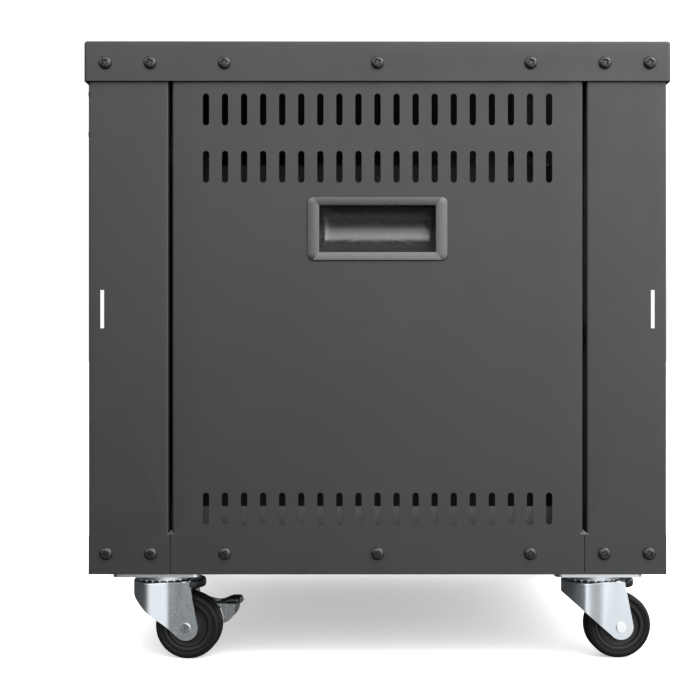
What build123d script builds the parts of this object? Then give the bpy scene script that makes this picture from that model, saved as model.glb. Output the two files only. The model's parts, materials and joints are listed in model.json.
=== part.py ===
from build123d import *
import math
import os

# Server rack battery: a wheeled sheet-steel cabinet with open ends that carries two rack
# battery modules.  Millimetres, +Z up.  The origin is on the floor under the middle of the
# cabinet.  The cabinet's front faces -X and its right-hand side faces -Y.

# ---- driving dimensions -------------------------------------------------------------------
LID = 550.0  # the square lid, outside its flanges
BODY = 543.0  # outside of the posts and panels
BASE_Z = 89.0  # underside of the body above the floor
TOP_Z = 589.5  # top of the lid
LID_FLANGE = 37.6
LID_SHEET = 2.0
SHEET = 1.5
LAP = 37.6  # flat strip at the foot of each post and panel, over the base tray's flange

POST_SIDE = 75.3  # side face of a corner post
POST_FRONT = 28.0  # end face of a corner post
POST_RETURN = 22.0
PANEL = 386.0
SEAM = 0.9  # gap between post and panel along the laps
RELIEF = 2.2  # bend relief notch

SLOT_COUNT = 19
SLOT_PITCH = 17.9
SLOT_LONG = 30.0
SLOT_WIDE = 6.0
SLOT_ROWS = (TOP_Z - 63.8, TOP_Z - 117.6, TOP_Z - 438.6)
SIGHT_SLOT = (3.8, 36.0)  # upright slot through each post's side face
SIGHT_INSET = 12.8
SIGHT_Z = TOP_Z - 251.3

SCREW_X = (0.0, 143.5, 213.0, 255.0)  # screws along each side, mirrored about the middle
LID_SCREW_Z = TOP_Z - 20.7
BASE_SCREW_Z = BASE_Z + 19.7
END_SCREW_Y = (0.0, 143.5, 255.0)  # screws along the lid's end flanges
COVER_SCREW_Z = (TOP_Z - 47.0, TOP_Z - 85.0)
M6_R = 3.0
M6_HOLE_R = 3.3
HEAD_R = 6.0
HEAD_H = 3.3

BEZEL = (132.0, 60.0)
POCKET = (109.0, 43.7)
POCKET_Z = TOP_Z - 175.9
POCKET_DEEP = 26.0
WALL = 2.0

CASTER_X = 209.0
CASTER_Y = 221.5
PLATE = (82.0, 92.0, 3.5)
PLATE_HOLES = (62.0, 72.0)
WHEEL_R = 31.75
WHEEL_W = 23.0
CORE_R = 24.75
TRAIL = 25.4
FORK_HALF = 18.5  # outer face of a leg from the middle
FORK_NOSE = 29.0
FORK_SHEET = 2.5
HEAD_TOP = 76.5
LIP_DEEP = 6.7  # turned-down lip behind the fork's head
BALL_R = 2.0
BALL_RING = 26.0
BALL_COUNT = 24
AXLE_R = 4.0
RUN = 0.06  # radial running clearance
BRAKE_PIN = (17.0, 68.2)  # from the swivel towards the wheel, and above the floor
BRAKE_PIN_R = 2.2
BRAKE_BARREL_R = 4.0
TAB_TOP = 54.1  # the brake lever's tab under its pedal
TAB_T = 2.2
ARM_SIDE = (13.2, 15.2)  # the brake lever's arm runs between the wheel and one leg

UNIT = 44.45  # one rack unit
RACK_FACE = BODY / 2 - 42.0  # front of the rack rails from the middle
RACK_HOLE_Y = 465.1 / 2
EAR_Y = 482.6 / 2
MODULE_UNITS = 4
MODULE_FLOOR = BASE_Z + LAP + 2.4
CASE = (420.0, 440.0, MODULE_UNITS * UNIT - 3.0)

half = BODY / 2
inner = half - SHEET
lid_half = LID / 2
lap_top = BASE_Z + LAP
under_lid = TOP_Z - LID_SHEET
post_x = half - POST_SIDE  # inner edge of a post's side face

os.makedirs("parts", exist_ok=True)


# ---- helpers ------------------------------------------------------------------------------
def block(low, high, mode=Mode.ADD):
    """A box between two corners, given in any order, in the builder that is open."""
    middle = tuple((a + b) / 2 for a, b in zip(low, high))
    size = [abs(b - a) for a, b in zip(low, high)]
    with Locations(middle):
        Box(*size, mode=mode)


def side_plane(side, y):
    """Upright plane facing outwards on the right (-1) or left (+1) side; its local y is +Z."""
    return Plane(origin=(0, side * y, 0), x_dir=(-side, 0, 0), z_dir=(0, side, 0))


def end_plane(end, x):
    """Upright plane facing outwards on the front (-1) or rear (+1) end; its local y is +Z."""
    return Plane(origin=(end * x, 0, 0), x_dir=(0, end, 0), z_dir=(end, 0, 0))


def drill(plane, spots, radius, depth):
    """Round holes through a wall, from its outer face inwards."""
    with BuildSketch(plane) as holes:
        with Locations(*spots):
            Circle(radius)
    extrude(holes.sketch, amount=-depth, mode=Mode.SUBTRACT)


def rounded_block(wide, low_z, high_z, closed, corner, bend):
    """A square block with rounded uprights and one rounded face, the first (0) or last (-1) up Z."""
    with BuildPart() as solid:
        block((-wide, -wide, low_z), (wide, wide, high_z))
        fillet(solid.edges().filter_by(Axis.Z), corner)
        fillet(solid.faces().sort_by(Axis.Z)[closed].edges(), bend)
    return solid.part


def save(part, name):
    part.part.label = name
    export_step(part.part, f"parts/{name}.step")


def mirrored(values):
    return sorted({s * v for v in values for s in (-1, 1)})


sides = {"right": -1, "left": 1}
ends = {"front": -1, "rear": 1}


# ---- base tray and lid --------------------------------------------------------------------
with BuildPart() as base_tray:
    add(rounded_block(inner, BASE_Z, lap_top - 0.6, 0, 2.5, 2.0))
    add(rounded_block(inner - SHEET, BASE_Z + SHEET, lap_top + 9, 0, 1.0, 0.5), mode=Mode.SUBTRACT)
    for side in (-1, 1):
        drill(side_plane(side, inner), [(x, BASE_SCREW_Z) for x in mirrored(SCREW_X)], M6_HOLE_R, SHEET * 2)
    with BuildSketch(Plane.XY.offset(BASE_Z)):
        with Locations(*[(ex * CASTER_X, sy * CASTER_Y) for ex in (-1, 1) for sy in (-1, 1)]):
            with GridLocations(PLATE_HOLES[0], PLATE_HOLES[1], 2, 2):
                Circle(M6_HOLE_R)
        with GridLocations(60, 90, 5, 3):
            SlotOverall(40, 6)
    extrude(amount=SHEET * 2, mode=Mode.SUBTRACT)
save(base_tray, "base_tray")

with BuildPart() as top_cover:
    add(rounded_block(lid_half, TOP_Z - LID_FLANGE, TOP_Z, -1, 3.0, 2.9))
    hollow = rounded_block(lid_half - LID_SHEET, TOP_Z - LID_FLANGE - 9, under_lid, -1, 1.0, 0.9)
    add(hollow, mode=Mode.SUBTRACT)
    for side in (-1, 1):
        drill(side_plane(side, lid_half), [(x, LID_SCREW_Z) for x in mirrored(SCREW_X)], M6_HOLE_R, 4)
        drill(end_plane(side, lid_half), [(y, LID_SCREW_Z) for y in mirrored(END_SCREW_Y)], M6_HOLE_R, 4)
save(top_cover, "top_cover")


# ---- corner posts -------------------------------------------------------------------------
def corner_post(end, side):
    """Folded post: an end face, a side face and an inward return that stops above the lap."""
    with BuildPart() as post:
        with BuildSketch(Plane.XY.offset(lap_top)):
            with BuildLine():
                Polyline(
                    (end * half, side * (half - POST_FRONT)),
                    (end * half, side * half),
                    (end * post_x, side * half),
                    (end * post_x, side * (half - POST_RETURN)),
                    (end * (post_x + SHEET), side * (half - POST_RETURN)),
                    (end * (post_x + SHEET), side * inner),
                    (end * inner, side * inner),
                    (end * inner, side * (half - POST_FRONT)),
                    close=True,
                )
            make_face()
        extrude(amount=under_lid - lap_top)
        bends = post.edges().filter_by(Axis.Z)
        outer = bends.filter_by(lambda e: abs(abs(e.center().Y) - half) < 0.01)
        fillet(outer, 2.0)
        # the flat strip that laps the base tray, a little wider than the folded face
        block((end * half, side * half, BASE_Z), (end * (post_x - 1.2), side * inner, lap_top))
        block((end * half, side * inner, BASE_Z), (end * inner, side * (half - POST_FRONT), lap_top))
        # bend reliefs at both ends of the strip
        block((end * half, side * half, lap_top - 0.5),
              (end * (half - RELIEF), side * (half - RELIEF), lap_top + 1),
              mode=Mode.SUBTRACT)
        block((end * (post_x + RELIEF), side * half, lap_top - 0.6),
              (end * (post_x - 1.2), side * (half - POST_RETURN - 1), lap_top + 1.6), mode=Mode.SUBTRACT)
        screws = [x for x in SCREW_X if x > post_x]
        spots = [(-side * end * x, z) for x in screws for z in (BASE_SCREW_Z, LID_SCREW_Z)]
        drill(side_plane(side, half), spots, M6_HOLE_R, SHEET * 2)
        front_y = half - POST_FRONT / 2
        spots = [(end * side * front_y, z) for z in COVER_SCREW_Z] if end < 0 else []
        spots.append((end * side * 255.0, LID_SCREW_Z))
        drill(end_plane(end, half), spots, M6_HOLE_R, SHEET * 2)
        with BuildSketch(side_plane(side, half)):
            with Locations((-side * end * (half - SIGHT_INSET), SIGHT_Z)):
                Rectangle(*SIGHT_SLOT)
        extrude(amount=-SHEET * 2, mode=Mode.SUBTRACT)
    return post


for end_name, end in ends.items():
    for side_name, side in sides.items():
        save(corner_post(end, side), f"corner_post_{end_name}_{side_name}")


# ---- side panels --------------------------------------------------------------------------
def side_panel(side):
    """Vented panel with inward returns, and a flat lap at its foot."""
    wide = PANEL / 2
    with BuildPart() as panel:
        with BuildSketch(Plane.XY.offset(lap_top)):
            with BuildLine():
                Polyline(
                    (-wide, side * (half - POST_RETURN)),
                    (-wide, side * half),
                    (wide, side * half),
                    (wide, side * (half - POST_RETURN)),
                    (wide - SHEET, side * (half - POST_RETURN)),
                    (wide - SHEET, side * inner),
                    (-wide + SHEET, side * inner),
                    (-wide + SHEET, side * (half - POST_RETURN)),
                    close=True,
                )
            make_face()
        extrude(amount=under_lid - lap_top)
        bends = panel.edges().filter_by(Axis.Z)
        fillet(bends.filter_by(lambda e: abs(abs(e.center().Y) - half) < 0.01), 2.0)
        lap_half = post_x - 1.2 - SEAM
        block((-lap_half, side * half, BASE_Z), (lap_half, side * inner, lap_top))
        for end in (-1, 1):
            block((end * (wide - RELIEF), side * half, lap_top - 0.6),
                  (end * (wide + 1.2), side * (half - POST_RETURN - 1), lap_top + 1.6), mode=Mode.SUBTRACT)
        spots = [(x, z) for x in mirrored(SCREW_X[:2]) for z in (BASE_SCREW_Z, LID_SCREW_Z)]
        drill(side_plane(side, half), spots, M6_HOLE_R, SHEET * 2)
        with BuildSketch(side_plane(side, half)):
            for row in SLOT_ROWS:
                with Locations((0, row)):
                    with GridLocations(SLOT_PITCH, 1, SLOT_COUNT, 1):
                        SlotOverall(SLOT_LONG, SLOT_WIDE, rotation=90)
            with Locations((0, POCKET_Z)):
                Rectangle(POCKET[0] + 2 * WALL + 1, POCKET[1] + 2 * WALL + 1)
        extrude(amount=-SHEET * 2, mode=Mode.SUBTRACT)
    return panel


for side_name, side in sides.items():
    save(side_panel(side), f"side_panel_{side_name}")


# ---- recessed handles ---------------------------------------------------------------------
def pocket_profile(side, grow):
    """Hollow of the handle in section: a curved ceiling, a short flat back, a rising floor."""
    tall = POCKET[1] / 2 + grow
    deep = POCKET_DEEP + grow
    front = half + 2.0 if grow == 0 else half
    upper_spots = [(front, tall), (half - 6, tall), (half - deep, 4)]
    lower_spots = [(half - deep, -8), (half - 7, -tall), (front, -tall)]
    spots = upper_spots + lower_spots
    lip_top, roof, back_top, back_low, floor, lip_low = [(side * y, POCKET_Z + z) for y, z in spots]
    mid_top = (side * (half - deep * 0.80), POCKET_Z + tall * 0.74)
    mid_low = (side * (half - deep * 0.77), POCKET_Z - tall * 0.80)
    with BuildLine() as outline:
        Line(lip_top, roof)
        ThreePointArc(roof, mid_top, back_top)
        Line(back_top, back_low)
        ThreePointArc(back_low, mid_low, floor)
        Line(floor, lip_low)
        Line(lip_low, lip_top)
    return outline.edges()


def handle_pocket(side):
    """Moulded bezel and finger pocket, clipped into the panel's window."""
    with BuildPart() as handle:
        with BuildSketch(Plane.YZ.offset(-POCKET[0] / 2 - WALL)):
            make_face(pocket_profile(side, WALL))
        extrude(amount=POCKET[0] + 2 * WALL)
        with BuildSketch(side_plane(side, half)):
            with Locations((0, POCKET_Z)):
                RectangleRounded(*BEZEL, 5.5)
        extrude(amount=2.0)
        face = handle.faces().sort_by(Axis.Y)[-1 if side > 0 else 0]
        fillet(face.outer_wire().edges(), 1.2)
        with BuildSketch(Plane.YZ.offset(-POCKET[0] / 2)):
            make_face(pocket_profile(side, 0))
        extrude(amount=POCKET[0], mode=Mode.SUBTRACT)
    return handle


for side_name, side in sides.items():
    save(handle_pocket(side), f"handle_{side_name}")


# ---- rack rails, shelf angles and the bus-bar cover ----------------------------------------
RAIL_Z = (lap_top + 0.5, TOP_Z - LID_FLANGE - 2)
module_bases = [MODULE_FLOOR + n * MODULE_UNITS * UNIT for n in range(2)]
EAR_OFFSETS = (38.1, 139.7)  # a four-unit module's ear screws, above its lowest unit line
REAR_OFFSETS = (22.225, 155.575)  # middle holes of the first and fourth unit, open at the rear
ear_holes = [base + offset_z for base in module_bases for offset_z in EAR_OFFSETS]
rear_holes = [base + offset_z for base in module_bases for offset_z in REAR_OFFSETS]


def rack_rails(end):
    """Pair of upright angles whose faces take the modules' ears."""
    with BuildPart() as rails:
        for side in (-1, 1):
            outer = side * (inner - 0.3)
            block((end * RACK_FACE, side * 227.5, RAIL_Z[0]), (end * (RACK_FACE - 2), outer, RAIL_Z[1]))
            block((end * RACK_FACE, outer, RAIL_Z[0]),
                  (end * (post_x + SHEET + 0.5), outer - side * 2, RAIL_Z[1]))
        heights = ear_holes if end < 0 else rear_holes
        spots = [(y, z) for y in (-RACK_HOLE_Y, RACK_HOLE_Y) for z in heights]
        drill(end_plane(end, RACK_FACE), spots, 2.75, 4)
    return rails


for end_name, end in ends.items():
    save(rack_rails(end), f"rack_rails_{end_name}")

with BuildPart() as shelf_angles:
    for base in module_bases:
        for side in (-1, 1):
            block((-(RACK_FACE - 2.3), side * 222.5, base - 2.0), ((RACK_FACE - 2.3), side * 200, base - 0.3))
            reach = RACK_FACE - 2.3
            block((-reach, side * 224.2, base - 2.0), (reach, side * 222.5, base + 18))
save(shelf_angles, "shelf_angles")

cover_z = (TOP_Z - 99.0, TOP_Z - 34.0)
with BuildPart() as bus_cover:
    block((-inner, -(inner - 2), cover_z[0]), (-(inner - SHEET), inner - 2, cover_z[1]))
    for z in cover_z:
        inwards = SHEET if z == cover_z[0] else -SHEET
        block((-(inner - SHEET), -(half - 32), z), (-(inner - 16), half - 32, z + inwards))
    with BuildSketch(end_plane(-1, inner)):
        with Locations(*[(y, z) for y in (-(half - 14), half - 14) for z in COVER_SCREW_Z]):
            Circle(M6_HOLE_R)
        with Locations((0, sum(cover_z) / 2 - 9)):
            with GridLocations(16, 1, 21, 1):
                SlotOverall(26, 6, rotation=90)
    extrude(amount=-SHEET * 2, mode=Mode.SUBTRACT)
save(bus_cover, "bus_cover")


# ---- bus bars -------------------------------------------------------------------------------
BUS_X = -225.0
BUS_Z = {"positive": TOP_Z - 58.0, "negative": TOP_Z - 84.0}


def bus_bar(z):
    """Flat copper bar on edge, drilled for the cable lugs."""
    with BuildPart() as bar:
        block((BUS_X, -190, z - 9), (BUS_X + 4, 190, z + 9))
        fillet(bar.edges().filter_by(Axis.X), 3)
        drill(end_plane(-1, -BUS_X), [(y, z) for y in range(-160, 161, 80)], 4.2, 6)
    return bar


for pole, z in BUS_Z.items():
    save(bus_bar(z), f"bus_bar_{pole}")

with BuildPart() as bus_insulators:
    low_bar = BUS_Z["negative"] - 9
    for y in (-200, 200):
        block((BUS_X - 4, y - 9.7, low_bar - 7), (BUS_X + 10, y + 9.7, BUS_Z["positive"] + 13))
        inward = math.copysign(1, -y)
        for z in BUS_Z.values():
            block((BUS_X - 0.2, y + inward * 1.8, z - 9.2), (BUS_X + 4.2, y + inward * 9.8, z + 9.2),
                  mode=Mode.SUBTRACT)
    block((BUS_X + 10, -234, low_bar - 7), (BUS_X + 12, 234, BUS_Z["positive"] + 13))
save(bus_insulators, "bus_insulators")


# ---- battery modules ----------------------------------------------------------------------
def module_case(base):
    """Closed steel case that holds the cells."""
    low = (-RACK_FACE + 0.3, -CASE[1] / 2, base)
    high = (low[0] + CASE[0], CASE[1] / 2, base + CASE[2])
    with BuildPart() as case:
        block(low, high)
        fillet(case.edges().filter_by(Axis.X), 2.0)
        offset(amount=-SHEET, openings=case.faces().sort_by(Axis.X)[0])
        with BuildSketch(end_plane(1, high[0])):
            with Locations((0, base + CASE[2] / 2)):
                with GridLocations(14, 44, 12, 2):
                    SlotOverall(32, 5, rotation=90)
        extrude(amount=-SHEET * 2, mode=Mode.SUBTRACT)
    return case


PANEL_T = 3.0
panel_front = -RACK_FACE - PANEL_T
BREAKER = (-150.0, 96.0)  # y from the middle and z above the module's foot
BUTTON = (-85.0, 118.0)
GRIP_Y = 205.0
TERMINALS = {"positive": 150.0, "negative": 95.0}
TERMINAL_Z = 60.0


def front_panel(base):
    """Rack-width face plate with ears, cut-outs and ports."""
    middle = base + CASE[2] / 2
    with BuildPart() as panel:
        block((panel_front, -EAR_Y, base), (-RACK_FACE, EAR_Y, base + CASE[2]))
        fillet(panel.edges().filter_by(Axis.X), 3.0)
        with BuildSketch(end_plane(-1, -panel_front)):
            ears = [base + offset_z for offset_z in EAR_OFFSETS]
            with Locations(*[(y, z) for y in (-RACK_HOLE_Y, RACK_HOLE_Y) for z in ears]):
                SlotOverall(10.3, 7.0)
            with Locations((-BREAKER[0], base + BREAKER[1])):
                Rectangle(54.6, 78.6)
            with Locations((-BUTTON[0], base + BUTTON[1])):
                Circle(8.2)
            with Locations(*[(-y, base + TERMINAL_Z) for y in TERMINALS.values()]):
                Circle(9.3)
            with Locations((0, middle - 20)):
                with GridLocations(18, 1, 4, 1):
                    Rectangle(13, 11)
            with Locations((0, middle + 34)):
                with GridLocations(12, 1, 6, 1):
                    Circle(1.6)
        extrude(amount=-PANEL_T, mode=Mode.SUBTRACT)
    return panel


def power_button(base):
    """Round push button that slides in the face plate."""
    with BuildPart() as button:
        with BuildSketch(end_plane(-1, -panel_front + 3.5)):
            with Locations((-BUTTON[0], base + BUTTON[1])):
                Circle(8.2 - 0.15)
        extrude(amount=-9.0)
        fillet(button.faces().sort_by(Axis.X)[0].edges(), 1.2)
    return button


LEVER_PIN_R = 4.0
lever_x = panel_front - 2.0


def breaker_lever(base):
    """Rocker of the breaker: a short bar on a cross shaft."""
    z = base + BREAKER[1]
    with BuildPart() as lever:
        with BuildSketch(Plane.XZ.offset(-(BREAKER[0] + 15))):
            with Locations((lever_x, z)):
                Circle(7.0)
            with BuildLine():
                Polyline((lever_x - 3, z - 4), (lever_x - 22, z + 8), (lever_x - 20, z + 14),
                         (lever_x + 2, z + 5), close=True)
            make_face()
        extrude(amount=30)
        with BuildSketch(Plane.XZ.offset(-(BREAKER[0] + 19))):
            with Locations((lever_x, z)):
                Circle(LEVER_PIN_R)
        extrude(amount=38)
    return lever


for name, base in zip(("lower", "upper"), module_bases):
    save(module_case(base), f"{name}_module_case")
    save(front_panel(base), f"{name}_module_front")
    save(power_button(base), f"{name}_power_button")
    save(breaker_lever(base), f"{name}_breaker_lever")
    with BuildPart() as cells:
        with Locations((18, 0, base + SHEET + 0.5 + 84)):
            with GridLocations(0, 26.0, 1, 16):
                Box(330, 25.6, 168)
    save(cells, f"{name}_cells")

with BuildPart() as battery_boards:
    for base in module_bases:
        block((-RACK_FACE + 30, -150, base + 12), (-RACK_FACE + 32, 150, base + 160))
        for y in (-110, -55, 0, 55, 110):
            block((-RACK_FACE + 32, y - 16, base + 100), (-RACK_FACE + 40, y + 16, base + 150))
save(battery_boards, "battery_boards")

with BuildPart() as breaker_bodies:
    for base in module_bases:
        z = base + BREAKER[1]
        y = BREAKER[0]
        block((panel_front - 1.6, y - 27, z - 39), (-RACK_FACE + 26, y + 27, z + 39))
        block((panel_front - 8.0, y - 26.5, z - 18), (panel_front - 1.6, y + 26.5, z + 18))
        block((panel_front - 9, y - 15.6, z - 19), (lever_x + 10, y + 15.6, z + 19), mode=Mode.SUBTRACT)
        with BuildSketch(Plane.XZ.offset(-(y + 19.6))):
            with Locations((lever_x, z)):
                Circle(LEVER_PIN_R + RUN)
        extrude(amount=39.2, mode=Mode.SUBTRACT)
save(breaker_bodies, "breaker_bodies")

with BuildPart() as terminal_posts:
    for base in module_bases:
        for y in TERMINALS.values():
            with BuildSketch(end_plane(-1, RACK_FACE - 12)):
                with Locations((-y, base + TERMINAL_Z)):
                    Circle(9.0)
            extrude(amount=12 + PANEL_T + 5)
            with BuildSketch(end_plane(-1, -panel_front + 5)):
                with Locations((-y, base + TERMINAL_Z)):
                    RegularPolygon(9.0, 6)
            extrude(amount=5)
            drill(end_plane(-1, -panel_front + 10), [(-y, base + TERMINAL_Z)], 4.0, 18)
save(terminal_posts, "terminal_posts")

GRIP_OUT = 26.0
with BuildPart() as module_grips:
    for base in module_bases:
        for y in (-GRIP_Y, GRIP_Y):
            low = base + 38.9
            high = low + 100
            with BuildSketch(Plane.XZ.offset(-(y + 5))):
                with BuildLine():
                    FilletPolyline((panel_front, low), (panel_front - GRIP_OUT, low),
                               (panel_front - GRIP_OUT, high),
                                   (panel_front, high), radius=12)
                    FilletPolyline((panel_front, high - 10), (panel_front - GRIP_OUT + 9, high - 10),
                                   (panel_front - GRIP_OUT + 9, low + 10), (panel_front, low + 10), radius=6)
                    Line((panel_front, high), (panel_front, high - 10))
                    Line((panel_front, low + 10), (panel_front, low))
                make_face()
            extrude(amount=10)
save(module_grips, "module_grips")


# ---- fasteners ----------------------------------------------------------------------------
def pan_screw(plane, spot, length, head=(HEAD_R, HEAD_H), shank=M6_R, recess=2.0):
    """Domed head screw in the open builder: head on the plane's face, shank going inwards."""
    with BuildSketch(plane) as rim:
        with Locations(spot):
            Circle(head[0])
    extrude(rim.sketch, amount=head[1] * 0.55)
    with BuildSketch(plane.offset(head[1] * 0.55)) as dome:
        with Locations(spot):
            Circle(head[0])
    extrude(dome.sketch, amount=head[1] * 0.45, taper=55)
    with BuildSketch(plane) as bolt:
        with Locations(spot):
            Circle(shank)
    extrude(bolt.sketch, amount=-length)
    with BuildSketch(plane.offset(head[1])) as cross:
        with Locations(spot):
            Rectangle(5.4, 1.3)
            Rectangle(1.3, 5.4)
    extrude(cross.sketch, amount=-recess, mode=Mode.SUBTRACT)


with BuildPart() as case_screws:
    for side in (-1, 1):
        for x in mirrored(SCREW_X):
            pan_screw(side_plane(side, lid_half), (x, LID_SCREW_Z), 12)
            pan_screw(side_plane(side, half), (x, BASE_SCREW_Z), 12)
        for y in mirrored(END_SCREW_Y):
            pan_screw(end_plane(side, lid_half), (y, LID_SCREW_Z), 12)
save(case_screws, "case_screws")

with BuildPart() as front_screws:
    for y in (-(half - 14), half - 14):
        for z in COVER_SCREW_Z:
            pan_screw(end_plane(-1, half), (y, z), 12, head=(5.5, 2.8))
    for y in (-RACK_HOLE_Y, RACK_HOLE_Y):
        for z in ear_holes:
            pan_screw(end_plane(-1, -panel_front), (y, z), 12, head=(5.0, 2.8), shank=2.6)
save(front_screws, "front_screws")

with BuildPart() as caster_bolts:
    corners = [(ex * CASTER_X, sy * CASTER_Y) for ex in (-1, 1) for sy in (-1, 1)]
    for cx, cy in corners:
        for dx in (-PLATE_HOLES[0] / 2, PLATE_HOLES[0] / 2):
            for dy in (-PLATE_HOLES[1] / 2, PLATE_HOLES[1] / 2):
                with Locations((cx + dx, cy + dy, BASE_Z + SHEET)):
                    Cylinder(5.0, 4.0, align=(Align.CENTER, Align.CENTER, Align.MIN))
                with Locations((cx + dx, cy + dy, BASE_Z + SHEET)):
                    Cylinder(M6_R, SHEET + PLATE[2], align=(Align.CENTER, Align.CENTER, Align.MAX))
save(caster_bolts, "caster_bolts")


# ---- casters ------------------------------------------------------------------------------
# Each caster's heading is the direction from its swivel to its wheel, as an angle about +Z.
# The front pair carries brakes.
casters = {
    "front_right": (-1, -1, -4.5, True),
    "rear_right": (1, -1, 3.9, False),
    "front_left": (-1, 1, 150.0, True),
    "rear_left": (1, 1, 12.0, False),
}


def spot_of(end, side):
    return (end * CASTER_X, side * CASTER_Y)


def caster_plate(end, side):
    """Square mounting plate with the pressed upper ball race."""
    x, y = spot_of(end, side)
    top = BASE_Z
    with BuildPart() as plate:
        with BuildSketch(Plane.XY.offset(top - PLATE[2])):
            with Locations((x, y)):
                RectangleRounded(PLATE[0], PLATE[1], 6)
                with GridLocations(PLATE_HOLES[0], PLATE_HOLES[1], 2, 2):
                    Circle(M6_HOLE_R, mode=Mode.SUBTRACT)
        extrude(amount=PLATE[2])
        with BuildSketch(Plane.XY.offset(top - PLATE[2])):
            with Locations((x, y)):
                Circle(BALL_RING + 2.4)
        extrude(amount=-(top - PLATE[2] - HEAD_TOP - BALL_R - 0.3))
        with Locations((x, y, HEAD_TOP + BALL_R)):
            Torus(BALL_RING, BALL_R + 0.03, mode=Mode.SUBTRACT)
        with Locations((x, y, BASE_Z)):
            Cylinder(5.0 + RUN, 40, mode=Mode.SUBTRACT)
    return plate


def local_plane(end, side, heading, base_plane):
    """A plane of the caster's own frame: origin under the swivel, +x towards its wheel."""
    x, y = spot_of(end, side)
    return Plane(Location((x, y, 0), (0, 0, heading)) * Location(base_plane))


def fork_outline(shrink):
    """Plan of the fork's wall: a round nose, a gentle waist and two straight legs."""
    nose = FORK_NOSE - shrink
    leg = FORK_HALF - shrink
    turn = math.radians(118)
    hip = (nose * math.cos(turn), nose * math.sin(turn))
    rear = 45.0
    with BuildLine() as outline:
        ThreePointArc((hip[0], -hip[1]), (-nose, 0), hip)
        for s in (-1, 1):
            Spline((hip[0], s * hip[1]), (10, s * leg),
                   tangents=((math.sin(turn), -s * math.cos(turn)), (1, 0)), tangent_scalars=(0.9, 0.9))
            Line((10, s * leg), (rear, s * leg))
        Line((rear, -leg), (rear, leg))
    return outline.edges()


def fork(end, side, heading):
    """Pressed steel fork: head with the lower ball race, nose, and tapered legs to the axle."""
    level = lambda z: local_plane(end, side, heading, Plane.XY.offset(z))
    upright = local_plane(end, side, heading, Plane.XZ)
    head_low = HEAD_TOP - FORK_SHEET
    diagonal = math.radians(41.5)
    low = (TRAIL - 12 * math.sin(diagonal), WHEEL_R - 12 * math.cos(diagonal))
    nose_low = low[1] + (low[0] + 40) * math.tan(diagonal)
    rear_angle = math.radians(11.3)
    rear = (TRAIL + 12 * math.cos(rear_angle), WHEEL_R + 12 * math.sin(rear_angle))
    rear_top = (rear[0] - (HEAD_TOP - rear[1]) * math.tan(rear_angle), HEAD_TOP)
    with BuildPart() as body:
        with BuildSketch(level(0)):
            make_face(fork_outline(0))
        extrude(amount=HEAD_TOP)
        fillet(body.faces().sort_by(Axis.Z)[-1].edges(), 1.6)
        with BuildSketch(level(0)):
            make_face(fork_outline(FORK_SHEET))
        extrude(amount=head_low, mode=Mode.SUBTRACT)
        with BuildSketch(upright):
            with BuildLine():
                Polyline((-40, HEAD_TOP), (-40, nose_low), low)
                ThreePointArc(low, (TRAIL + 12 * math.cos(-0.9), WHEEL_R + 12 * math.sin(-0.9)), rear)
                Polyline(rear, rear_top, (-40, HEAD_TOP))
            make_face()
        extrude(amount=40, both=True, mode=Mode.INTERSECT)
        # the head's round rear lip, turned down behind the legs
        with BuildSketch(level(HEAD_TOP - LIP_DEEP)):
            with BuildLine():
                ThreePointArc((20, FORK_HALF), (39.5, 0), (20, -FORK_HALF))
                Line((20, -FORK_HALF), (20, FORK_HALF))
            make_face()
        extrude(amount=LIP_DEEP)
        with BuildSketch(level(HEAD_TOP - LIP_DEEP - 0.1)):
            with BuildLine():
                ThreePointArc((19, FORK_HALF - 2.5), (37, 0), (19, -FORK_HALF + 2.5))
                Line((19, -FORK_HALF + 2.5), (19, FORK_HALF - 2.5))
            make_face()
        extrude(amount=LIP_DEEP + 0.1 - FORK_SHEET, mode=Mode.SUBTRACT)
        with BuildSketch(level(head_low - 1)):
            Circle(5.0 + RUN)
        extrude(amount=FORK_SHEET + 2, mode=Mode.SUBTRACT)
        with Locations((*spot_of(end, side), HEAD_TOP + BALL_R)):
            Torus(BALL_RING, BALL_R + 0.6, mode=Mode.SUBTRACT)
        with BuildSketch(upright):
            with Locations((TRAIL, WHEEL_R)):
                Circle(AXLE_R + 0.02)
        extrude(amount=40, both=True, mode=Mode.SUBTRACT)
        if end < 0:
            with BuildSketch(upright):
                with Locations(BRAKE_PIN):
                    Circle(BRAKE_PIN_R)
            extrude(amount=FORK_HALF - 1.2, both=True, mode=Mode.SUBTRACT)
    return body


def fork_pins(end, side, heading):
    """The wheel's axle rivet, headed outside both legs, and a braked fork's blind pivot pin."""
    upright = local_plane(end, side, heading, Plane.XZ)
    with BuildPart() as pins:
        with BuildSketch(upright):
            with Locations((TRAIL, WHEEL_R)):
                Circle(AXLE_R)
        extrude(amount=FORK_HALF, both=True)
        for way in (-1, 1):
            with BuildSketch(upright.offset(way * FORK_HALF)):
                with Locations((TRAIL, WHEEL_R)):
                    Circle(4.6)
            extrude(amount=way * 1.8)
        if end < 0:
            with BuildSketch(upright):
                with Locations(BRAKE_PIN):
                    Circle(BRAKE_PIN_R)
            extrude(amount=FORK_HALF - 1.2, both=True)
    return pins


def revolved(end, side, heading, points):
    """A turned piece on the axle, from its half-section (distance along the axle, radius)."""
    through_axle = Plane(origin=(TRAIL, 0, WHEEL_R), x_dir=(0, 1, 0), z_dir=(1, 0, 0))
    axle_plane = local_plane(end, side, heading, through_axle)
    with BuildPart() as piece:
        with BuildSketch(axle_plane):
            with BuildLine():
                Polyline(*points, close=True)
            make_face()
        revolve(axis=Axis(axle_plane.origin, axle_plane.x_dir))
    return piece


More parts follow.
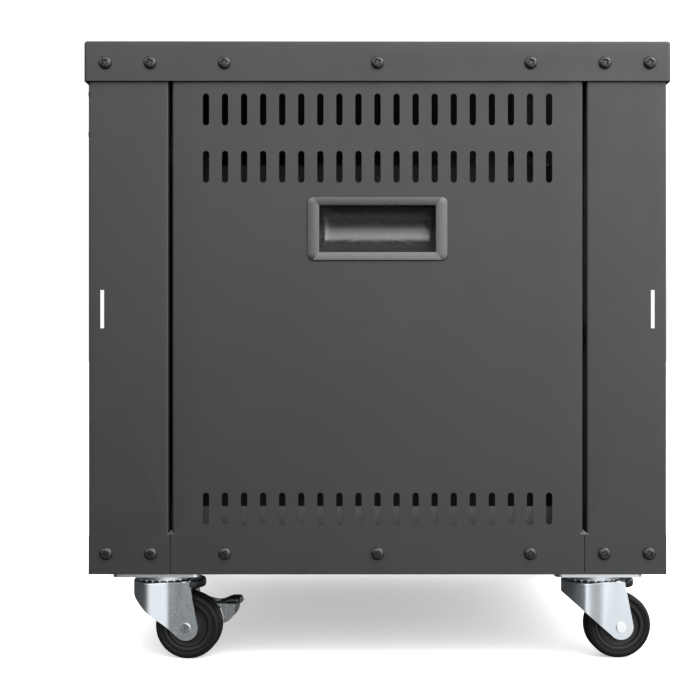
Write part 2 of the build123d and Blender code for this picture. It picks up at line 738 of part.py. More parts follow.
def wheel_core(end, side, heading):
    """Moulded hub with a dished web and a bearing bore."""
    bore = AXLE_R + RUN
    h = WHEEL_W / 2
    section = [(-h - 1.2, bore), (-h - 1.2, 10), (-h + 5, 12), (-h + 5, 20.5), (-h + 1.5, 22),
               (-h + 1.5, CORE_R),
               (h - 1.5, CORE_R), (h - 1.5, 22), (h - 5, 20.5), (h - 5, 12), (h + 1.2, 10), (h + 1.2, bore)]
    return revolved(end, side, heading, section)


def tyre(end, side, heading):
    """Solid tread ring with rounded shoulders."""
    h = WHEEL_W / 2
    points = [(-h + 0.4, CORE_R), (-h, CORE_R + 1.5), (-h, WHEEL_R - 3.5), (-h + 1.0, WHEEL_R - 1.4),
              (-h + 3.2, WHEEL_R - 0.2), (-h + 6, WHEEL_R)]
    section = points + [(-y, r) for y, r in reversed(points)]
    return revolved(end, side, heading, section)


def gusset():
    """Quarter-round plate that hangs from the brake lever's tab, in the lever's upright plane."""
    with BuildLine() as outline:
        Line((56.0, TAB_TOP - 1), (71.5, TAB_TOP - 1))
        ThreePointArc((71.5, TAB_TOP - 1), (68.8, 40.5), (60.2, 35.0))
        ThreePointArc((60.2, 35.0), (59.8, 45.0), (56.0, TAB_TOP - 1))
    return outline.edges()


def brake_lever(end, side, heading):
    """Arm beside the wheel from its pivot barrel to a cross tab, with two gussets under the tab."""
    upright = local_plane(end, side, heading, Plane.XZ)
    near, far = ARM_SIDE
    with BuildPart() as lever:
        with BuildSketch(upright.offset(near)):
            with Locations(BRAKE_PIN):
                Circle(BRAKE_BARREL_R)
        extrude(amount=-near - far)
        with BuildSketch(upright.offset(-near)):
            with BuildLine():
                Spline((17.5, 72.0), (33.0, 60.5), (46.0, 55.2), (56.6, TAB_TOP))
                Line((56.6, TAB_TOP), (56.6, 45.0))
                Spline((56.6, 45.0), (44.0, 47.0), (29.0, 54.5), (14.6, 65.2))
                Line((14.6, 65.2), (17.5, 72.0))
            make_face()
        extrude(amount=near - far)
        with BuildSketch(upright.offset(9)):
            with BuildLine():
                tab_low = TAB_TOP - TAB_T
                Polyline((54.8, TAB_TOP), (73.0, TAB_TOP), (73.0, tab_low), (54.8, tab_low), close=True)
            make_face()
        extrude(amount=-9 - far)
        for out in (9, -far):
            with BuildSketch(upright.offset(out)):
                make_face(gusset())
            extrude(amount=near - far)
        with BuildSketch(upright):
            with Locations(BRAKE_PIN):
                Circle(BRAKE_PIN_R + RUN)
        extrude(amount=20, both=True, mode=Mode.SUBTRACT)
    return lever


def brake_pedal(end, side, heading):
    """Soft cap on the lever's tab, thicker towards its round end."""
    upright = local_plane(end, side, heading, Plane.XZ)
    with BuildPart() as pedal:
        with BuildSketch(upright.offset(10)):
            with BuildLine():
                Line((54.9, TAB_TOP), (73.0, TAB_TOP))
                Line((73.0, TAB_TOP), (73.0, TAB_TOP - TAB_T))
                ThreePointArc((73.0, TAB_TOP - TAB_T), (77.4, 55.2), (74.0, 58.0))
                ThreePointArc((74.0, 58.0), (65.0, 57.2), (54.9, TAB_TOP))
            make_face()
        extrude(amount=-24)
    return pedal


for name, (end, side, heading, braked) in casters.items():
    save(caster_plate(end, side), f"{name}_caster_plate")
    save(fork(end, side, heading), f"{name}_fork")
    save(fork_pins(end, side, heading), f"{name}_fork_pins")
    save(wheel_core(end, side, heading), f"{name}_wheel_core")
    save(tyre(end, side, heading), f"{name}_tyre")
    if braked:
        save(brake_lever(end, side, heading), f"{name}_brake_lever")
        save(brake_pedal(end, side, heading), f"{name}_brake_pedal")

with BuildPart() as race_balls:
    for name, (end, side, heading, braked) in casters.items():
        with Locations((*spot_of(end, side), HEAD_TOP + BALL_R)):
            with PolarLocations(BALL_RING, BALL_COUNT):
                Sphere(BALL_R - 0.03)
save(race_balls, "race_balls")

with BuildPart() as kingpins:
    for name, (end, side, heading, braked) in casters.items():
        x, y = spot_of(end, side)
        with Locations((x, y, HEAD_TOP - FORK_SHEET - 0.3)):
            Cylinder(8.0, 3.0, align=(Align.CENTER, Align.CENTER, Align.MAX))
            shank = BASE_Z - 1.0 - HEAD_TOP + FORK_SHEET + 0.3
            Cylinder(5.0, shank, align=(Align.CENTER, Align.CENTER, Align.MIN))
save(kingpins, "kingpins")
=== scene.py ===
import json
import math
import random

import bmesh
import bpy
from mathutils import Matrix, Vector


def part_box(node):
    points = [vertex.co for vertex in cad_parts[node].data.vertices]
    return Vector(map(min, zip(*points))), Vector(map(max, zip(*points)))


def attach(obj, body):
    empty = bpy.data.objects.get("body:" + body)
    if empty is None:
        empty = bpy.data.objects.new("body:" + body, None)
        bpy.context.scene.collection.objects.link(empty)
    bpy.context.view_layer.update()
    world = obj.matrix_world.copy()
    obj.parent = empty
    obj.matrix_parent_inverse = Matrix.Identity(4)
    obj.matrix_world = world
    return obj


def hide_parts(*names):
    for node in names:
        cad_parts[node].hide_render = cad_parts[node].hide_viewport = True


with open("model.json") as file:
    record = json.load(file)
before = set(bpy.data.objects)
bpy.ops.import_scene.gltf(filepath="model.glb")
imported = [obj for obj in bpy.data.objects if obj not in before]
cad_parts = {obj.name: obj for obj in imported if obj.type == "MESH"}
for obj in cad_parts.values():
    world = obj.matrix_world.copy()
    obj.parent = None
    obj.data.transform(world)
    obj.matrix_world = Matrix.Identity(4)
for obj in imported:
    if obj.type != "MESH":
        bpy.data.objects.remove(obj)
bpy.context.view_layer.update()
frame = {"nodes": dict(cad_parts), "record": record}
nodes = frame["nodes"]
MM = 0.001


# ---- materials ----------------------------------------------------------------------------
class Shader:
    """A node material with one Principled shader, and short calls for its usual layers."""

    def __init__(self, name, colour, roughness=0.5, metallic=0.0, **sockets):
        self.mat = bpy.data.materials.new(name)
        self.mat.use_nodes = True
        self.tree = self.mat.node_tree
        self.out = self.tree.nodes["Principled BSDF"]
        self.base = (*colour, 1.0)
        self.out.inputs["Base Color"].default_value = self.base
        self.out.inputs["Roughness"].default_value = roughness
        self.out.inputs["Metallic"].default_value = metallic
        for socket, value in sockets.items():
            self.out.inputs[socket.replace("_", " ")].default_value = value
        self.coords = self.node("ShaderNodeTexCoord").outputs["Object"]
        self.height = None

    def node(self, kind, **values):
        made = self.tree.nodes.new(kind)
        for key, value in values.items():
            setattr(made, key, value)
        return made

    def link(self, a, b):
        self.tree.links.new(a, b)

    def stretched(self, stretch):
        mapping = self.node("ShaderNodeMapping")
        mapping.inputs["Scale"].default_value = stretch
        self.link(self.coords, mapping.inputs["Vector"])
        return mapping.outputs["Vector"]

    def noise(self, scale, detail=3.0, rough=0.5, stretch=(1, 1, 1)):
        made = self.node("ShaderNodeTexNoise")
        made.inputs["Scale"].default_value = scale
        made.inputs["Detail"].default_value = detail
        made.inputs["Roughness"].default_value = rough
        self.link(self.stretched(stretch), made.inputs["Vector"])
        return made.outputs["Fac"]

    def cells(self, scale, stretch=(1, 1, 1)):
        made = self.node("ShaderNodeTexVoronoi")
        made.inputs["Scale"].default_value = scale
        self.link(self.stretched(stretch), made.inputs["Vector"])
        return made.outputs["Color"]

    def ramp(self, value, low, high, low_out, high_out):
        made = self.node("ShaderNodeMapRange")
        for key, number in (("From Min", low), ("From Max", high), ("To Min", low_out), ("To Max", high_out)):
            made.inputs[key].default_value = number
        self.link(value, made.inputs["Value"])
        return made.outputs["Result"]

    def vary_roughness(self, value, low, high, spread=(0.3, 0.7)):
        self.link(self.ramp(value, *spread, low, high), self.out.inputs["Roughness"])
        return self

    def vary_colour(self, value, dark, light, spread=(0.3, 0.7)):
        mix = self.node("ShaderNodeMix", data_type="RGBA")
        mix.inputs["A"].default_value = (*[c * dark for c in self.base[:3]], 1)
        mix.inputs["B"].default_value = (*[min(c * light, 1) for c in self.base[:3]], 1)
        self.link(self.ramp(value, *spread, 0.0, 1.0), mix.inputs["Factor"])
        self.link(mix.outputs["Result"], self.out.inputs["Base Color"])
        return self

    def bump(self, value, depth, strength=1.0):
        made = self.node("ShaderNodeBump")
        made.inputs["Distance"].default_value = depth
        made.inputs["Strength"].default_value = strength
        self.link(value, made.inputs["Height"])
        if self.height:
            self.link(self.height, made.inputs["Normal"])
        self.height = made.outputs["Normal"]
        self.link(self.height, self.out.inputs["Normal"])
        return self


def powder_coat(name, colour, roughness=0.42, grain=0.00006):
    """Satin powder coat: fine orange peel over a slow drift in gloss and tone."""
    s = Shader(name, colour, roughness, Specular_IOR_Level=0.5)
    slow = s.noise(9, 2)
    s.vary_colour(slow, 0.94, 1.06)
    s.vary_roughness(s.noise(26, 4), roughness - 0.04, roughness + 0.05)
    s.bump(s.noise(900, 2, 0.6), grain)
    s.bump(s.noise(2600, 2, 0.6), grain * 0.5)
    return s.mat


def moulded(name, colour, roughness=0.5, grain=0.00004, scale=2200, specular=0.5):
    """Moulded plastic or hard rubber with a spark-eroded grain."""
    s = Shader(name, colour, roughness, Specular_IOR_Level=specular)
    s.vary_colour(s.noise(40, 3), 0.9, 1.1)
    s.vary_roughness(s.noise(120, 4), roughness - 0.06, roughness + 0.08)
    s.bump(s.noise(scale, 3, 0.6), grain)
    return s.mat


def zinc_plate(name, colour, roughness=0.3, streak=(1, 1, 0.08)):
    """Bright zinc plate: faint rolling streaks, small spangle and handling haze."""
    s = Shader(name, colour, roughness, 1.0)
    s.vary_colour(s.cells(1500), 0.96, 1.03, (0.2, 0.8))
    s.vary_roughness(s.noise(420, 5, 0.6), roughness - 0.04, roughness + 0.06)
    s.bump(s.noise(1500, 3, 0.5, streak), 0.000004)
    return s.mat


def polished(name, colour, roughness=0.15):
    """Polished metal with hairline scratches."""
    s = Shader(name, colour, roughness, 1.0)
    s.vary_roughness(s.noise(500, 4, 0.6, (1, 1, 0.2)), roughness, roughness + 0.12)
    s.bump(s.noise(1500, 2), 0.000006)
    return s.mat


def circuit_board():
    s = Shader("circuit_board", (0.02, 0.12, 0.05), 0.35)
    s.vary_colour(s.cells(160), 0.6, 1.3, (0.2, 0.8))
    s.bump(s.cells(160), 0.0001)
    return s.mat


finishes = {
    "powder_coat": powder_coat("powder_coat", (0.012, 0.012, 0.0132)),
    "handle_plastic": moulded("handle_plastic", (0.022, 0.021, 0.0203), 0.27, 0.00001, 2200, 0.95),
    "rail_zinc": zinc_plate("rail_zinc", (0.34, 0.35, 0.36), 0.42),
    "black_screw": moulded("black_screw", (0.010, 0.010, 0.011), 0.2, 0.000004, 900),
    "zinc_bolt": zinc_plate("zinc_bolt", (0.62, 0.64, 0.66), 0.3),
    "caster_zinc": zinc_plate("caster_zinc", (0.54, 0.58, 0.61), 0.34),
    "brake_steel": zinc_plate("brake_steel", (0.60, 0.63, 0.65), 0.26),
    "rivet_steel": polished("rivet_steel", (0.72, 0.73, 0.74), 0.2),
    "ball_steel": polished("ball_steel", (0.8, 0.82, 0.84), 0.06),
    "wheel_plastic": moulded("wheel_plastic", (0.008, 0.0075, 0.0075), 0.5, 0.00003, 1600, 0.3),
    "tread_rubber": moulded("tread_rubber", (0.005, 0.0048, 0.0048), 0.6, 0.00004, 1400, 0.2),
    "pedal_rubber": moulded("pedal_rubber", (0.007, 0.0075, 0.0085), 0.35, 0.00003, 1800, 0.4),
    "copper_bar": polished("copper_bar", (0.72, 0.4, 0.26), 0.25),
    # insulator_plastic and module_paint: red plastic and dark paint, made darker still as painted shade, so
    # the inside seen through the vent slots reads as dark as shade
    "insulator_plastic": moulded("insulator_plastic", (0.05, 0.006, 0.005), 0.5),
    "module_paint": powder_coat("module_paint", (0.006, 0.006, 0.0065), 0.6),
    "module_front_paint": powder_coat("module_front_paint", (0.022, 0.022, 0.024), 0.5, 0.0001),
    "cell_case": moulded("cell_case", (0.05, 0.13, 0.35), 0.3),
    "circuit_board": circuit_board(),
    "breaker_plastic": moulded("breaker_plastic", (0.5, 0.51, 0.5), 0.4),
    "breaker_toggle": moulded("breaker_toggle", (0.012, 0.012, 0.012), 0.25, 0.00001),
    "button_steel": polished("button_steel", (0.7, 0.7, 0.71), 0.18),
    "terminal_brass": polished("terminal_brass", (0.75, 0.58, 0.28), 0.22),
    "grip_paint": powder_coat("grip_paint", (0.02, 0.02, 0.022), 0.4),
}


# ---- carried-over CAD nodes ---------------------------------------------------------------
slot_of = {row["node"]: row["material_slot"] for row in frame["record"]["subparts"]}


def angle_smoothing(degrees):
    """Geometry nodes that shade smooth across every edge blunter than this."""
    group = bpy.data.node_groups.new("angle_smoothing", "GeometryNodeTree")
    for way in ("INPUT", "OUTPUT"):
        group.interface.new_socket("Geometry", in_out=way, socket_type="NodeSocketGeometry")
    new = group.nodes.new
    start, end = new("NodeGroupInput"), new("NodeGroupOutput")
    merge = new("GeometryNodeMergeByDistance")
    faces, edges = new("GeometryNodeSetShadeSmooth"), new("GeometryNodeSetShadeSmooth")
    angle, sharper = new("GeometryNodeInputMeshEdgeAngle"), new("FunctionNodeCompare")
    merge.inputs["Distance"].default_value = 1e-6
    faces.domain, edges.domain = "FACE", "EDGE"
    edges.inputs["Shade Smooth"].default_value = False
    sharper.data_type, sharper.operation = "FLOAT", "GREATER_THAN"
    sharper.inputs["B"].default_value = math.radians(degrees)
    for a, b in (
        (start.outputs[0], merge.inputs["Geometry"]),
        (merge.outputs["Geometry"], faces.inputs["Geometry"]),
        (faces.outputs["Geometry"], edges.inputs["Geometry"]),
        (angle.outputs["Unsigned Angle"], sharper.inputs["A"]),
        (sharper.outputs["Result"], edges.inputs["Selection"]),
        (edges.outputs["Geometry"], end.inputs[0]),
    ):
        group.links.new(a, b)
    return group


smoothing = angle_smoothing(28)


def smooth(obj):
    obj.modifiers.new("smoothing", "NODES").node_group = smoothing


for name, obj in nodes.items():
    obj.data.materials.clear()
    obj.data.materials.append(finishes[slot_of[name]])
    smooth(obj)


# ---- mesh tools ---------------------------------------------------------------------------
def piece_from(name, mesh, body, slot, replaced=()):
    """Link a finished bmesh as a named piece on its body, in its slot's finish."""
    bmesh.ops.recalc_face_normals(mesh, faces=mesh.faces)
    data = bpy.data.meshes.new(name)
    mesh.to_mesh(data)
    mesh.free()
    data.materials.append(finishes[slot])
    obj = bpy.data.objects.new(name, data)
    bpy.context.collection.objects.link(obj)
    smooth(obj)
    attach(obj, body)
    if replaced:
        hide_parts(*replaced)
    return obj


def aim(place, axis):
    """Matrix that puts a shape made along local +Z at a place, along an axis."""
    turn = Vector(axis).to_track_quat("Z", "Y").to_matrix().to_4x4()
    return Matrix.Translation(Vector(place)) @ turn


def bridge(mesh, rows, closed_rows):
    """Quads between neighbouring closed rows of vertices."""
    pairs = list(zip(rows, rows[1:]))
    if closed_rows:
        pairs.append((rows[-1], rows[0]))
    for low, high in pairs:
        count = len(low)
        for i in range(count):
            mesh.faces.new((low[i], low[(i + 1) % count], high[(i + 1) % count], high[i]))


def lathe(mesh, profile, matrix, segments=96):
    """Turn a closed (radius, height) profile in millimetres about local +Z."""
    rows = []
    for radius, height in profile:
        rows.append([])
        for i in range(segments):
            a = math.tau * i / segments
            spot = Vector((radius * math.cos(a), radius * math.sin(a), height)) * MM
            rows[-1].append(mesh.verts.new(matrix @ spot))
    bridge(mesh, rows, True)


def rounded_box(mesh, low, high, radius, steps=3):
    """Box in metres between two corners with its edges rounded."""
    made = bmesh.ops.create_cube(mesh, size=1.0)
    verts = made["verts"]
    low, high = Vector(low), Vector(high)
    for v in verts:
        v.co = Vector([low[i] if v.co[i] < 0 else high[i] for i in range(3)])
    edges = list({e for v in verts for e in v.link_edges})
    bmesh.ops.bevel(mesh, geom=edges, offset=radius, segments=steps, profile=0.5, affect="EDGES")


def islands(obj):
    """Lowest and highest corner of each separate solid in a node."""
    mesh = bmesh.new()
    mesh.from_mesh(obj.data)
    bmesh.ops.remove_doubles(mesh, verts=mesh.verts, dist=1e-6)
    seen, found = set(), []
    for first in mesh.verts:
        if first in seen:
            continue
        group, queue = [], [first]
        seen.add(first)
        while queue:
            v = queue.pop()
            group.append(v.co.copy())
            for e in v.link_edges:
                w = e.other_vert(v)
                if w not in seen:
                    seen.add(w)
                    queue.append(w)
        found.append(tuple(Vector([pick(c[i] for c in group) for i in range(3)]) for pick in (min, max)))
    mesh.free()
    return found


# ---- screws -------------------------------------------------------------------------------
def ease(low, high, value):
    t = min(max((value - low) / (high - low), 0.0), 1.0)
    return t * t * (3 - 2 * t)


def cross_depth(x, y, radius):
    """Depth of a cross recess, 0 to 1, on a head of this radius."""
    reach, width = radius * 0.55, radius * 0.13
    arms = []
    for along, across in ((abs(x), abs(y)), (abs(y), abs(x))):
        arms.append((1 - ease(reach * 0.75, reach, along)) * (1 - ease(width, width * 1.7, across)))
    return max(arms)


def pan_head(mesh, seat, axis, radius, height, shank_radius, shank_length, turn):
    """Domed pan head with a cross recess, on its shank; sizes in millimetres."""
    matrix = aim(seat, axis) @ Matrix.Rotation(turn, 4, "Z")
    segments = 64
    dome = [1.0, 0.99, 0.955, 0.9, 0.82, 0.74] + [0.66 - 0.03 * i for i in range(21)] + [0.035]
    rows = [[], [], []]
    outline = ((shank_radius, -shank_length), (shank_radius, 0.0), (radius * 0.985, 0.0))
    for row, (r, z) in zip(rows, outline):
        for i in range(segments):
            a = math.tau * i / segments
            row.append(mesh.verts.new(matrix @ (Vector((r * math.cos(a), r * math.sin(a), z)) * MM)))
    for share in dome:
        row = []
        r = radius * share
        z = height * (0.36 + 0.64 * math.sqrt(max(1 - share**2.6, 0.0)))
        for i in range(segments):
            a = math.tau * i / segments
            x, y = r * math.cos(a), r * math.sin(a)
            sunk = height * 0.62 * cross_depth(x, y, radius)
            row.append(mesh.verts.new(matrix @ (Vector((x, y, z - sunk)) * MM)))
        rows.append(row)
    bridge(mesh, rows, False)
    mesh.faces.new(rows[-1])
    mesh.faces.new(rows[0])


def screw_set(name, node, body, slot):
    """Detailed screws in the places of a node's plain ones."""
    rng = random.Random(name)
    mesh = bmesh.new()
    for low, high in islands(nodes[node]):
        middle, size = (low + high) / 2, high - low
        along = 0 if abs(middle.x) > abs(middle.y) or node == "front_screws" else 1
        way = -1 if middle[along] < 0 else 1
        radius = size[1 - along] / 2 / MM
        height = radius * 0.55
        tip = high[along] if way > 0 else low[along]
        seat = middle.copy()
        seat[along] = tip - way * height * MM
        axis = [0.0, 0.0, 0.0]
        axis[along] = way
        length = size[along] / MM - height
        pan_head(mesh, seat, axis, radius, height, radius / 2, length, rng.uniform(0, math.tau))
    piece_from(name, mesh, body, slot, (node,))


screw_set("case_pan_screws", "case_screws", "cabinet", "black_screw")
screw_set("front_pan_screws", "front_screws", "cabinet", "black_screw")


# ---- casters ------------------------------------------------------------------------------
joints = {row["name"]: row for row in frame["record"]["behaviour"]["joints"]}
CASTERS = ("front_right", "rear_right", "front_left", "rear_left")
TREAD_THICK = 7.0  # millimetres, as are all the sizes below
LIP_CENTRE, LIP_RADIUS = 20.97, 18.53  # plan of the fork head's lip on the wheel's side, from the swivel
PEDAL_FOOT = 54.1  # top of the brake lever's tab above the floor


def half_width(node, place, axis):
    return max(abs((v.co - place).dot(axis)) for v in nodes[node].data.vertices) / MM


def beside_swivel(swivel, along, across, x, y, z):
    """World place of a point in a caster's own frame, in millimetres, its height from the floor."""
    return Vector((swivel.x, swivel.y, 0)) + (along * x + across * y) * MM + Vector((0, 0, z * MM))


for caster in CASTERS:
    roll = joints[caster + "_roll"]
    hub, axle = Vector(roll["pos_m"]), Vector(roll["axis"])
    matrix = aim(hub, axle)
    R = hub.z / MM
    w = half_width(caster + "_tyre", hub, axle)
    seat = R - TREAD_THICK
    side = [(seat, w - 1.2), (seat + 0.5, w - 0.5), (R - 4.6, w - 0.15)]
    side += [(R - 4.2, w - 0.7), (R - 3.8, w - 0.2)]
    side += [(R - 2.4, w - 0.6), (R - 1.2, w - 1.5), (R - 0.35, w - 2.8), (R - 0.05, w - 4.4)]
    crown = [(R, 0.6), (R - 0.12, 0.25), (R - 0.12, -0.25), (R, -0.6)]
    mesh = bmesh.new()
    lathe(mesh, side + crown + [(r, -z) for r, z in reversed(side)], matrix, 128)
    piece_from(caster + "_tread", mesh, caster + "_wheel", "tread_rubber", (caster + "_tyre",))

    hub_w = half_width(caster + "_wheel_core", hub, axle)
    face = [(4.1, hub_w), (8.4, hub_w), (9.0, hub_w - 0.5), (10.2, w - 2.6), (11.0, w - 3.0), (18.6, w - 3.0)]
    face += [(19.4, w - 2.7), (20.6, w - 0.9), (21.2, w - 0.6), (23.2, w - 0.6), (23.5, w - 0.9)]
    face += [(23.6, w - 1.6), (seat - 0.3, w - 1.6), (seat, w - 1.7)]
    mesh = bmesh.new()
    lathe(mesh, face + [(r, -z) for r, z in reversed(face)], matrix, 96)
    piece_from(caster + "_centre", mesh, caster + "_wheel", "wheel_plastic", (caster + "_wheel_core",))

    # black sleeve over the lip behind the fork's head: painted shade, a dark piece standing in for the shade
    # on the fork's steel rear lip
    swivel = Vector(joints[caster + "_swivel"]["pos_m"])
    along = (hub - swivel) * Vector((1, 1, 0))
    along.normalize()
    across = Vector((-along.y, along.x, 0))
    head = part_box(caster + "_fork")[1].z / MM
    path = []
    for i in range(25):
        a = math.radians(66 - 5.5 * i)
        c, s = math.cos(a), math.sin(a)
        path.append(((LIP_CENTRE + LIP_RADIUS * c, LIP_RADIUS * s), (c, s)))
    mesh = bmesh.new()
    rows = []
    for index, ((px, py), (nx, ny)) in enumerate(path):
        fade = min(index, len(path) - 1 - index, 2) / 2
        grow = 0.45 + 0.55 * fade
        row = []
        for i in range(20):
            a = math.tau * i / 20
            c, s = math.cos(a), math.sin(a)
            out = 2.0 * grow * math.copysign(abs(c) ** 0.7, c)
            up = 4.0 * grow * math.copysign(abs(s) ** 0.7, s)
            spot = (px + nx * out, py + ny * out, head - 3.1 + up)
            row.append(mesh.verts.new(beside_swivel(swivel, along, across, *spot)))
        rows.append(row)
    bridge(mesh, rows, False)
    mesh.faces.new(rows[0])
    mesh.faces.new(rows[-1])
    # the sleeve's dark rubber finish is painted shade on the fork's rear lip
    piece_from(caster + "_painted_shade_lip", mesh, caster + "_caster", "pedal_rubber")

    # ribbed cap on the brake lever's tab
    if caster + "_brake_pedal" in nodes:
        mesh = bmesh.new()
        rows = []
        for i in range(33):
            t = i / 32
            x = 54.9 + 22.3 * t
            thick = 0.9 + 4.6 * ease(0.0, 0.62, t)
            thick *= math.sqrt(max(1 - max((t - 0.84) / 0.16, 0.0) ** 2, 0.004))
            wide = 11.4 * math.sqrt(max(1 - max((t - 0.8) / 0.2, 0.0) ** 2 * 0.5, 0.01))
            row = []
            for k in range(28):
                a = math.tau * k / 28
                c, d = math.cos(a), math.sin(a)
                out = wide * math.copysign(abs(c) ** 0.45, c) + 2.0
                up = PEDAL_FOOT + 0.05 + thick * (0.5 + 0.5 * math.copysign(abs(d) ** 0.6, d))
                if d > 0.3 and i % 4 == 2:
                    up += 0.25
                row.append(mesh.verts.new(beside_swivel(swivel, along, across, x, out, up)))
            rows.append(row)
        bridge(mesh, rows, False)
        mesh.faces.new(rows[0])
        mesh.faces.new(rows[-1])
        piece_from(caster + "_pedal", mesh, caster + "_brake", "pedal_rubber", (caster + "_brake_pedal",))


# ---- recessed handles ---------------------------------------------------------------------
def rounded_ring(wide, tall, radius, count=12):
    """Points round a rounded rectangle, in millimetres from its middle."""
    ring = []
    for quarter, (sx, sy) in enumerate(((1, 1), (-1, 1), (-1, -1), (1, -1))):
        cx, cy = sx * (wide / 2 - radius), sy * (tall / 2 - radius)
        for i in range(count):
            a = math.radians(90 * quarter + 90 * i / (count - 1))
            ring.append((cx + radius * math.cos(a), cy + radius * math.sin(a)))
    fine = []
    for (x0, y0), (x1, y1) in zip(ring, ring[1:] + ring[:1]):
        steps = max(1, round(math.hypot(x1 - x0, y1 - y0) / 2.5))
        fine += [(x0 + (x1 - x0) * k / steps, y0 + (y1 - y0) * k / steps) for k in range(steps)]
    return fine


OPENING = (109.0, 43.7)  # width and height of the handle's mouth
BEZEL_CORNER = 6.0

for side, out in (("right", -1), ("left", 1)):
    low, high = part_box("handle_" + side)
    front_y = low.y if out < 0 else high.y
    middle = ((low.x + high.x) / 2, (low.z + high.z) / 2)
    deep = (high.y - low.y) / MM
    wide, tall = (high.x - low.x) / MM, (high.z - low.z) / MM
    half_u, half_v = OPENING[0] / 2, OPENING[1] / 2
    mesh = bmesh.new()
    rows = []

    def add_row(points, depth_of):
        row = []
        for u, v in points:
            y = front_y - out * depth_of(u, v) * MM
            row.append(mesh.verts.new(Vector((middle[0] + u * MM, y, middle[1] + v * MM))))
        rows.append(row)

    bezel = rounded_ring(wide, tall, BEZEL_CORNER)

    def between(share):
        """Ring part of the way from the bezel's outline to the opening's."""
        ring = []
        for u, v in bezel:
            straight_u, straight_v = abs(u) < wide / 2 - BEZEL_CORNER, abs(v) < tall / 2 - BEZEL_CORNER
            ou = u * (OPENING[0] / wide) if straight_u else math.copysign(half_u, u)
            ov = v * (OPENING[1] / tall) if straight_v else math.copysign(half_v, v)
            ring.append((u + (ou - u) * share, v + (ov - v) * share))
        return ring

    add_row(bezel, lambda u, v: 3.2)
    add_row(bezel, lambda u, v: 0.9)
    add_row(between(0.04), lambda u, v: 0.25)
    add_row(between(0.09), lambda u, v: 0.0)
    add_row(between(0.9), lambda u, v: 0.0)
    add_row(between(0.97), lambda u, v: 0.2)
    opening = between(1.0)
    add_row(opening, lambda u, v: 0.8)

    def scoop(u, v):
        """Depth of the pocket: a trough that curves up and down, with steep ends."""
        across_v = min(abs(v) / half_v, 1.0)
        across_u = min(abs(u) / half_u, 1.0)
        bowl = (1 - across_v**2.3) ** 0.5
        ends = (1 - across_u**26) ** 0.4
        return 0.8 + (deep - 4.5) * bowl * ends

    for k in range(1, 41):
        share = 1 - (k / 40) ** 1.7
        add_row([(u * max(share, 0.004), v * max(share, 0.004)) for u, v in opening], scoop)
    bridge(mesh, rows, False)
    mesh.faces.new(rows[-1])
    piece_from("recessed_handle_" + side, mesh, "cabinet", "handle_plastic", ("handle_" + side,))


# ---- module fronts ------------------------------------------------------------------------
def on_face(face_x, y, z, depth, wide, tall):
    """Corners of a box that stands out from a module's face plate; millimetres."""
    return (
        (face_x - depth * MM, (y - wide / 2) * MM, z - tall / 2 * MM),
        (face_x, (y + wide / 2) * MM, z + tall / 2 * MM),
    )


PORT_Z, INDICATOR_Z = 67.4, 121.4  # above a module's foot
SHELL_WALLS = ((-7.4, 0, 1.4, 14), (7.4, 0, 1.4, 14), (0, 6.3, 13.4, 1.4), (0, -6.3, 13.4, 1.4))

for module in ("lower", "upper"):
    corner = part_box(module + "_module_front")[0]
    face_x, foot = corner.x, corner.z
    mesh = bmesh.new()
    for k in range(4):
        y, z = -27 + 18 * k, foot + PORT_Z * MM
        for dy, dz, wide, tall in SHELL_WALLS:
            rounded_box(mesh, *on_face(face_x, y + dy, z + dz * MM, 2.2, wide, tall), 0.0003)
    piece_from(module + "_port_shells", mesh, "cabinet", "button_steel")
    mesh = bmesh.new()
    for k in range(4):
        y, z = -27 + 18 * k, foot + PORT_Z * MM
        rounded_box(mesh, *on_face(face_x, y, z, 0.5, 13.2, 11.2), 0.0001, 1)
        for i in range(8):
            rounded_box(mesh, *on_face(face_x, y - 4.2 + 1.2 * i, z + 2.4 * MM, 1.2, 0.5, 4.5), 0.0001, 1)
    piece_from(module + "_port_inserts", mesh, "cabinet", "breaker_toggle")
    mesh = bmesh.new()
    for i in range(6):
        place = (face_x, (-38 + 11 * i) * MM, foot + INDICATOR_Z * MM)
        lens = [(0.01, 0.0), (2.2, 0.0), (2.2, 0.6), (2.0, 1.2), (1.5, 1.7), (0.8, 2.0), (0.01, 2.1)]
        lathe(mesh, lens, aim(place, (-1, 0, 0)), 32)
    piece_from(module + "_indicator_lenses", mesh, "cabinet", "circuit_board")
    mesh = bmesh.new()
    for i in range(6):
        place = (face_x, (-38 + 11 * i) * MM, foot + INDICATOR_Z * MM)
        lathe(mesh, [(2.3, 0.0), (3.4, 0.0), (3.3, 0.6), (2.9, 0.9), (2.3, 0.9)], aim(place, (-1, 0, 0)), 32)
    piece_from(module + "_indicator_rings", mesh, "cabinet", "button_steel")
    mesh = bmesh.new()
    rounded_box(mesh, *on_face(face_x, 50, foot + INDICATOR_Z * MM, 2.0, 22, 8), 0.0004)
    for i in range(8):
        lift = 1.2 if i % 3 else -1.2
        toggle = on_face(face_x, 41.6 + 2.4 * i, foot + (INDICATOR_Z + lift) * MM, 3.0, 1.2, 2.2)
        rounded_box(mesh, *toggle, 0.0001, 1)
    piece_from(module + "_address_switches", mesh, "cabinet", "breaker_plastic")


# ---- stage, light and camera --------------------------------------------------------------
near_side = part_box("side_panel_right")[0].y

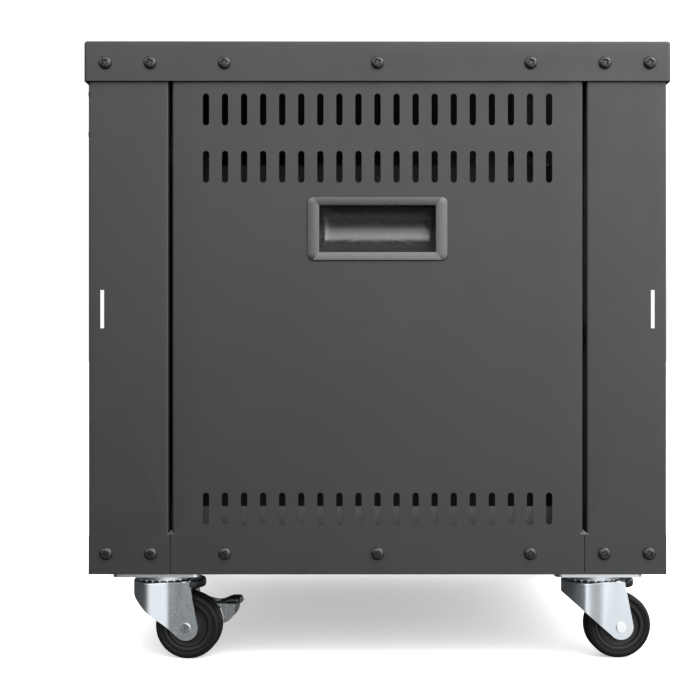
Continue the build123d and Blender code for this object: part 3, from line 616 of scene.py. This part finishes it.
white = bpy.data.materials.new("studio_floor")
white.use_nodes = True
floor_shader = white.node_tree.nodes["Principled BSDF"]
floor_shader.inputs["Base Color"].default_value = (0.85, 0.85, 0.85, 1)
floor_shader.inputs["Roughness"].default_value = 0.9
floor_shader.inputs["Specular IOR Level"].default_value = 0.0
floor_shader.inputs["Emission Color"].default_value = (1, 1, 1, 1)
floor_shader.inputs["Emission Strength"].default_value = 0.4
floor_mesh = bpy.data.meshes.new("floor")
R = 30.0
floor_mesh.from_pydata([(-R, -R, 0), (R, -R, 0), (R, R, 0), (-R, R, 0)], [], [(0, 1, 2, 3)])
floor = bpy.data.objects.new("floor", floor_mesh)
floor_mesh.materials.append(white)
bpy.context.collection.objects.link(floor)
floor.visible_glossy = False
floor.visible_diffuse = False

world = bpy.data.worlds.new("studio")
bpy.context.scene.world = world
world.use_nodes = True
sky = world.node_tree
backdrop = sky.nodes["Background"]
backdrop.inputs["Color"].default_value = (1, 1, 1, 1)


def sky_range(value, low, high, low_out, high_out):
    made = sky.nodes.new("ShaderNodeMapRange")
    made.interpolation_type = "SMOOTHSTEP"
    for key, number in (("From Min", low), ("From Max", high), ("To Min", low_out), ("To Max", high_out)):
        made.inputs[key].default_value = number
    sky.links.new(value, made.inputs["Value"])
    return made.outputs["Result"]


def sky_math(operation, a, b):
    made = sky.nodes.new("ShaderNodeMath")
    made.operation = operation
    for socket, value in zip(made.inputs, (a, b)):
        if isinstance(value, (int, float)):
            socket.default_value = value
        else:
            sky.links.new(value, socket)
    return made.outputs[0]


# The studio: bright in front and to the upper right, dim at the flanks, behind and overhead.
direction = sky.nodes.new("ShaderNodeTexCoord").outputs["Generated"]
parts = sky.nodes.new("ShaderNodeSeparateXYZ")
sky.links.new(direction, parts.inputs[0])
level = sky_range(parts.outputs["Y"], -0.95, 0.1, 1.9, 0.5)
level = sky_math("ADD", level, sky_range(parts.outputs["X"], -0.55, 0.45, -1.15, 1.0))
level = sky_math("ADD", level, sky_range(parts.outputs["Z"], -0.4, 0.5, -1.95, 1.6))
level = sky_math("ADD", level, sky_range(parts.outputs["Z"], 0.6, 0.95, 0.0, -1.0))
level = sky_math("MAXIMUM", level, 0.08)
seen = sky.nodes.new("ShaderNodeLightPath").outputs["Is Camera Ray"]
sky.links.new(sky_math("MAXIMUM", level, seen), backdrop.inputs["Strength"])


def soft_light(name, place, target, size, watts, colour=(1, 1, 1)):
    data = bpy.data.lights.new(name, "AREA")
    data.shape = "RECTANGLE"
    data.size, data.size_y = size
    data.energy = watts
    data.color = colour
    light = bpy.data.objects.new(name, data)
    light.location = place
    light.rotation_euler = (Vector(target) - Vector(place)).to_track_quat("-Z", "Y").to_euler()
    bpy.context.collection.objects.link(light)
    return light


soft_light("key", (2.0, -2.0, 2.4), (0, 0, 0.3), (1.2, 1.2), 28)
overhead = soft_light("overhead", (0, -0.6, 3.2), (0, 0, 0), (4.5, 4.5), 150)
overhead.visible_glossy = False

CAMERA_AWAY = 1.150  # from the near side panel
CAMERA_HEIGHT = 0.2998
FOCAL = 62.98
camera_data = bpy.data.cameras.new("camera")
camera_data.lens = FOCAL
camera_data.shift_x = -0.0393
camera = bpy.data.objects.new("camera", camera_data)
camera.location = (0, near_side - CAMERA_AWAY, CAMERA_HEIGHT)
camera.rotation_euler = (math.radians(90), 0, 0)
bpy.context.collection.objects.link(camera)
bpy.context.scene.camera = camera
bpy.context.scene.view_settings.view_transform = "Standard"
